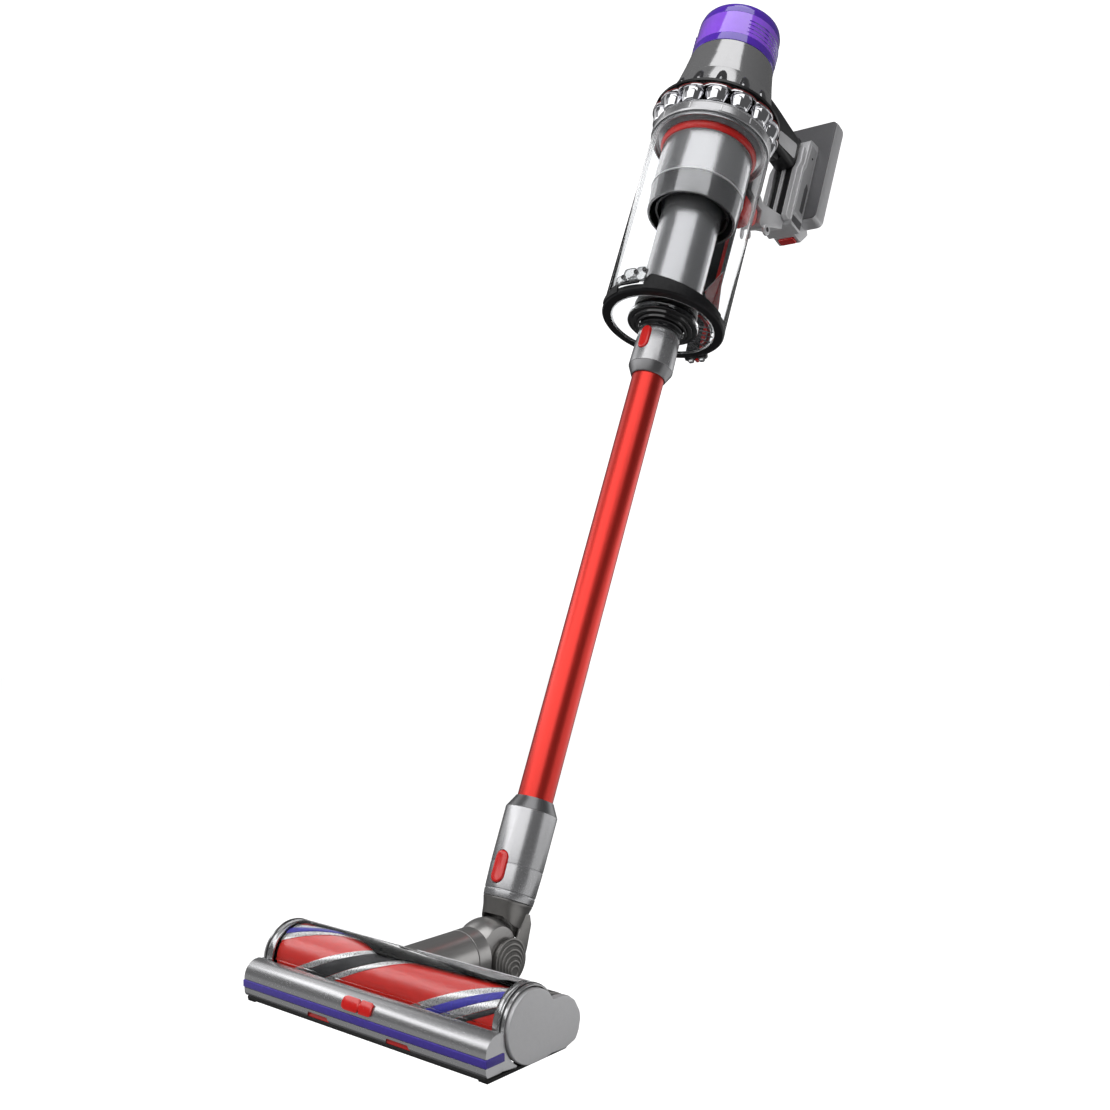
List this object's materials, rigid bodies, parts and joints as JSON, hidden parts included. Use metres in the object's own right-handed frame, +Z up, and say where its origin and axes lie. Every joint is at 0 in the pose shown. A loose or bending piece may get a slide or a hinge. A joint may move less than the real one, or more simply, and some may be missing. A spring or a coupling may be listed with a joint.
{
  "type": "stick vacuum cleaner",
  "caption": "Cordless stick vacuum cleaner with a clear dust bin, pistol grip, rear battery, straight wand and a motorised roller head.",
  "frame": {"origin": "point on the floor under the roller's axis, in the mid plane", "axes": "+X along the floor head to its right end, -Y to the front bar, +Z up from the floor"},
  "size_m": [0.324, 0.871, 1.1338],
  "materials": {
    "red_wand": "red anodised aluminium",
    "red_plastic": "red moulded plastic",
    "nickel_plastic": "metallic-sprayed grey plastic",
    "dark_plastic": "black moulded plastic",
    "violet_plastic": "violet translucent plastic",
    "clear_plastic": "clear polycarbonate",
    "chrome_plastic": "metallised plastic",
    "steel": "machined steel",
    "mesh_steel": "etched steel mesh",
    "rubber": "soft black rubber",
    "red_rubber": "red rubber seal",
    "red_nylon": "short red nylon pile",
    "black_felt": "black carbon filament strip",
    "blue_bristle": "blue bristle strip",
    "filter_paper": "pleated filter medium",
    "screen": "dark screen lens",
    "violet_strip": "violet soft bumper strip"
  },
  "bodies": {
    "hand_unit": {"inlet_duct": "nickel_plastic", "shroud_skirt": "nickel_plastic", "shroud_mesh": "mesh_steel", "bin_seal": "red_rubber", "bin_collar": "nickel_plastic", "cyclones_lower": "chrome_plastic", "pinstripe_ring": "red_plastic", "cyclones_upper": "chrome_plastic", "inner_frame": "dark_plastic", "motor_housing": "nickel_plastic", "motor": "steel", "display": "screen", "runner": "dark_plastic", "grip": "dark_plastic", "handle_rail": "nickel_plastic", "bridge": "nickel_plastic"},
    "impeller_body": {"impeller": "dark_plastic"},
    "filter": {"filter_shell": "violet_plastic", "filter_pleats": "filter_paper"},
    "mode_key": {"mode_button": "dark_plastic"},
    "lever": {"bin_lever": "red_plastic"},
    "trigger_body": {"trigger": "dark_plastic"},
    "battery": {"battery_block": "nickel_plastic", "battery_slab": "nickel_plastic"},
    "battery_key": {"battery_button": "red_plastic"},
    "bin": {"bin_wall": "clear_plastic", "bin_base_ring": "clear_plastic", "bin_door": "clear_plastic", "bin_hinge": "dark_plastic", "bin_catch": "dark_plastic"},
    "wand": {"wand_tube": "red_wand", "upper_collar": "nickel_plastic", "wand_spigot": "dark_plastic"},
    "upper_key": {"upper_button": "red_plastic"},
    "connector": {"elbow_fork": "dark_plastic", "elbow_discs": "nickel_plastic", "lower_collar": "nickel_plastic"},
    "lower_key": {"lower_button": "red_plastic"},
    "neck": {"neck_sleeve": "nickel_plastic", "elbow_ball": "nickel_plastic"},
    "head": {"head_housing": "nickel_plastic", "sole_plate": "dark_plastic", "sole_screws": "steel", "front_bar": "nickel_plastic", "bumper_strip": "violet_strip", "glide_pads": "rubber", "roller_cover": "clear_plastic", "cover_wiper": "rubber", "end_caps": "nickel_plastic", "roller_motor": "steel", "wheel_axles": "steel", "neck_duct": "nickel_plastic"},
    "suction_control": {"suction_slider": "red_plastic", "gate_strip": "red_plastic"},
    "roller": {"roller_tube": "red_nylon", "felt_strips": "black_felt", "bristle_strips": "blue_bristle", "roller_hubs": "dark_plastic"},
    "left_wheel": {"wheel_left": "dark_plastic"},
    "right_wheel": {"wheel_right": "dark_plastic"}
  },
  "joints": [
    {"name": "impeller_spin", "type": "hinge", "parent": "hand_unit", "child": "impeller_body", "pos_m": [0, 0.56711, 1.03449], "axis": [0, 0.4019, 0.9157], "continuous": true},
    {"name": "filter_twist", "type": "hinge", "parent": "hand_unit", "child": "filter", "pos_m": [0, 0.57837, 1.06013], "axis": [0, 0.4019, 0.9157], "range_deg": [0, 35]},
    {"name": "mode_press", "type": "slide", "parent": "hand_unit", "child": "mode_key", "axis": [0, -0.4019, -0.9157], "range_m": [0, 0.0015], "stiffness_N_per_m": 500, "springref_m": -0.001},
    {"name": "bin_lever_push", "type": "slide", "parent": "hand_unit", "child": "lever", "axis": [0, -0.4019, -0.9157], "range_m": [0, 0.01], "stiffness_N_per_m": 400, "springref_m": -0.004},
    {"name": "trigger_pull", "type": "hinge", "parent": "hand_unit", "child": "trigger_body", "pos_m": [0, 0.67345, 0.99437], "axis": [1, 0, 0], "range_deg": [0, 10], "stiffness_Nm_per_rad": 0.4, "springref_deg": -17.19},
    {"name": "battery_slide", "type": "slide", "parent": "hand_unit", "child": "battery", "axis": [0, -0.4019, -0.9157], "range_m": [0, 0.04]},
    {"name": "battery_press", "type": "slide", "parent": "battery", "child": "battery_key", "axis": [0, 0.4019, 0.9157], "range_m": [0, 0.0025], "stiffness_N_per_m": 500, "springref_m": -0.001},
    {"name": "bin_slide", "type": "slide", "parent": "hand_unit", "child": "bin", "axis": [0, -0.4019, -0.9157], "range_m": [0, 0.03]},
    {"name": "wand_slide", "type": "slide", "parent": "hand_unit", "child": "wand", "axis": [0, -0.4019, -0.9157], "range_m": [0, 0.06]},
    {"name": "upper_press", "type": "slide", "parent": "wand", "child": "upper_key", "axis": [0, 0.9157, -0.4019], "range_m": [0, 0.0025], "stiffness_N_per_m": 500, "springref_m": -0.001},
    {"name": "head_slide", "type": "slide", "parent": "wand", "child": "connector", "axis": [0, -0.4019, -0.9157], "range_m": [0, 0.05]},
    {"name": "lower_press", "type": "slide", "parent": "connector", "child": "lower_key", "axis": [0, 0.9157, -0.4019], "range_m": [0, 0.003], "stiffness_N_per_m": 500, "springref_m": -0.001},
    {"name": "elbow", "type": "hinge", "parent": "connector", "child": "neck", "pos_m": [0, 0.12698, 0.03184], "axis": [1, 0, 0], "range_deg": [-18, 50]},
    {"name": "neck_roll", "type": "hinge", "parent": "neck", "child": "head", "pos_m": [0, 0.09, 0.041], "axis": [0, 1, 0], "range_deg": [-45, 45]},
    {"name": "roller_spin", "type": "hinge", "parent": "head", "child": "roller", "pos_m": [0, 0, 0.036], "axis": [1, 0, 0], "continuous": true},
    {"name": "suction_slide", "type": "slide", "parent": "head", "child": "suction_control", "axis": [1, 0, 0], "range_m": [-0.012, 0.012]},
    {"name": "wheel_left_spin", "type": "hinge", "parent": "head", "child": "left_wheel", "pos_m": [-0.074, 0.055, 0.009], "axis": [1, 0, 0], "continuous": true},
    {"name": "wheel_right_spin", "type": "hinge", "parent": "head", "child": "right_wheel", "pos_m": [0.074, 0.055, 0.009], "axis": [1, 0, 0], "continuous": true}
  ]
}
